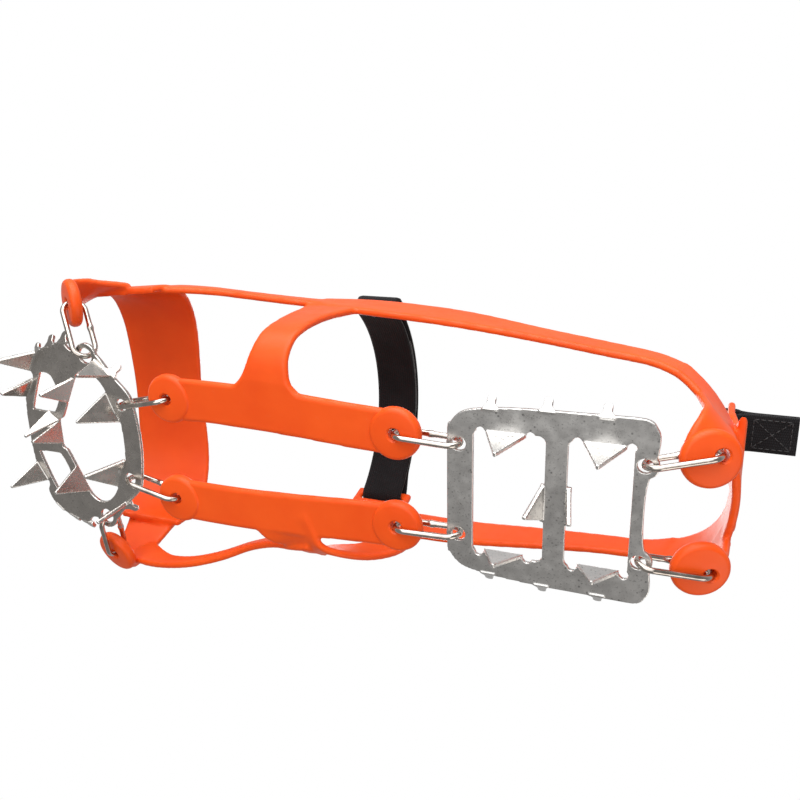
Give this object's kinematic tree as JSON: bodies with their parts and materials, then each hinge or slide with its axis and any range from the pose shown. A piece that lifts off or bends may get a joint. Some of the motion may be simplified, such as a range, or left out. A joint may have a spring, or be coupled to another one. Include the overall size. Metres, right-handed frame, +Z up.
{
  "type": "shoe ice cleats",
  "caption": "Slip-on shoe ice cleats: a stretch harness that hangs toothed heel and forefoot plates on oval links, with an instep strap and a heel pull.",
  "frame": {"origin": "middle of the object's outline, on the ground plane that the spike points stand on", "axes": "+X from heel to toe, +Y towards the wearer's left, +Z up"},
  "size_m": [0.3128, 0.1338, 0.1181],
  "materials": {
    "elastomer": "satin moulded elastomer, bright orange",
    "plate_steel": "dull tumbled stamped steel with bright cut edges",
    "link_steel": "bright nickel-plated welded wire",
    "webbing": "woven black polyester webbing",
    "hook_loop": "black hook-and-loop pile"
  },
  "bodies": {
    "harness": {"harness_sole_strap_left": "elastomer", "harness_sole_strap_right": "elastomer", "harness_side_arm_left": "elastomer", "harness_side_arm_right": "elastomer", "harness_rail_rear_left": "elastomer", "harness_rail_rear_right": "elastomer", "harness_rail_front_left": "elastomer", "harness_rail_front_right": "elastomer", "harness_toe_bridge": "elastomer", "harness_toe_ear_left": "elastomer", "harness_toe_ear_right": "elastomer", "harness_heel_band": "elastomer", "harness_heel_ear_left": "elastomer", "harness_heel_ear_right": "elastomer", "harness_pull_lug": "elastomer", "harness_instep_lug_left": "elastomer", "harness_instep_lug_right": "elastomer", "instep_strap": "webbing", "loop_patch": "hook_loop"},
    "heel_plate": {"heel_plate": "plate_steel"},
    "forefoot_plate": {"forefoot_plate": "plate_steel"},
    "link_heel_front_left": {"link_heel_front_left": "link_steel"},
    "link_heel_front_right": {"link_heel_front_right": "link_steel"},
    "link_heel_rear_left": {"link_heel_rear_left": "link_steel"},
    "link_heel_rear_right": {"link_heel_rear_right": "link_steel"},
    "link_fore_rear_left": {"link_fore_rear_left": "link_steel"},
    "link_fore_rear_right": {"link_fore_rear_right": "link_steel"},
    "link_toe_left": {"link_toe_left": "link_steel"},
    "link_toe_right": {"link_toe_right": "link_steel"},
    "strap_flap": {"instep_strap_flap": "webbing", "hook_patch": "hook_loop"},
    "heel_pull": {"heel_pull_loop": "webbing"}
  },
  "joints": [
    {"name": "heel_plate_sway", "type": "slide", "parent": "harness", "child": "heel_plate", "axis": [0, 1, 0], "range_m": [-0.003, 0.003]},
    {"name": "forefoot_plate_sway", "type": "slide", "parent": "harness", "child": "forefoot_plate", "axis": [0, 1, 0], "range_m": [-0.0006, 0.001]},
    {"name": "link_heel_front_left_swing", "type": "hinge", "parent": "harness", "child": "link_heel_front_left", "pos_m": [-0.01893, 0.01961, 0.0143], "axis": [0, 0, 1], "range_deg": [-7.3, 7.3]},
    {"name": "link_heel_rear_left_swing", "type": "hinge", "parent": "harness", "child": "link_heel_rear_left", "pos_m": [-0.12827, 0.02271, 0.02211], "axis": [0.3206, -0.0565, 0.9455], "range_deg": [-7.4, 7.4]},
    {"name": "link_fore_rear_left_swing", "type": "hinge", "parent": "harness", "child": "link_fore_rear_left", "pos_m": [0.0786, 0.02276, 0.0143], "axis": [0, 0, 1], "range_deg": [-2.6, 2.6]},
    {"name": "link_heel_front_right_swing", "type": "hinge", "parent": "harness", "child": "link_heel_front_right", "pos_m": [-0.01893, -0.01687, 0.0143], "axis": [0, 0, 1], "range_deg": [-7.3, 7.3]},
    {"name": "link_heel_rear_right_swing", "type": "hinge", "parent": "harness", "child": "link_heel_rear_right", "pos_m": [-0.12827, -0.01997, 0.02211], "axis": [0.3206, 0.0565, 0.9455], "range_deg": [-7.4, 7.4]},
    {"name": "link_fore_rear_right_swing", "type": "hinge", "parent": "harness", "child": "link_fore_rear_right", "pos_m": [0.0786, -0.02002, 0.0143], "axis": [0, 0, 1], "range_deg": [-2.6, 2.6]},
    {"name": "link_toe_left_swing", "type": "hinge", "parent": "harness", "child": "link_toe_left", "pos_m": [0.12856, 0.0569, 0.02251], "axis": [-0.5811, -0.0065, 0.8138], "range_deg": [-1.5, 1.5]},
    {"name": "link_toe_right_swing", "type": "hinge", "parent": "harness", "child": "link_toe_right", "pos_m": [0.12197, -0.05669, 0.02251], "axis": [-0.2065, 0.3023, 0.9305], "range_deg": [-0.8, 0.8]},
    {"name": "strap_flap_peel", "type": "hinge", "parent": "harness", "child": "strap_flap", "pos_m": [0.02058, 0.04931, 0.09785], "axis": [-1, 0, 0], "range_deg": [0, 110]},
    {"name": "heel_pull_swing", "type": "hinge", "parent": "harness", "child": "heel_pull", "pos_m": [-0.13042, 0.00137, 0.1085], "axis": [0, 1, 0], "range_deg": [-55, 90]}
  ],
  "couplings": [
    {"joint": "link_heel_front_left_swing", "follows": "heel_plate_sway", "rad_per_m": -41.692},
    {"joint": "link_heel_rear_left_swing", "follows": "heel_plate_sway", "rad_per_m": 42.309},
    {"joint": "link_fore_rear_left_swing", "follows": "forefoot_plate_sway", "rad_per_m": 42.598},
    {"joint": "link_heel_front_right_swing", "follows": "heel_plate_sway", "rad_per_m": -41.692},
    {"joint": "link_heel_rear_right_swing", "follows": "heel_plate_sway", "rad_per_m": 42.309},
    {"joint": "link_fore_rear_right_swing", "follows": "forefoot_plate_sway", "rad_per_m": 42.598},
    {"joint": "link_toe_left_swing", "follows": "forefoot_plate_sway", "rad_per_m": -24.213},
    {"joint": "link_toe_right_swing", "follows": "forefoot_plate_sway", "rad_per_m": -10.519}
  ]
}
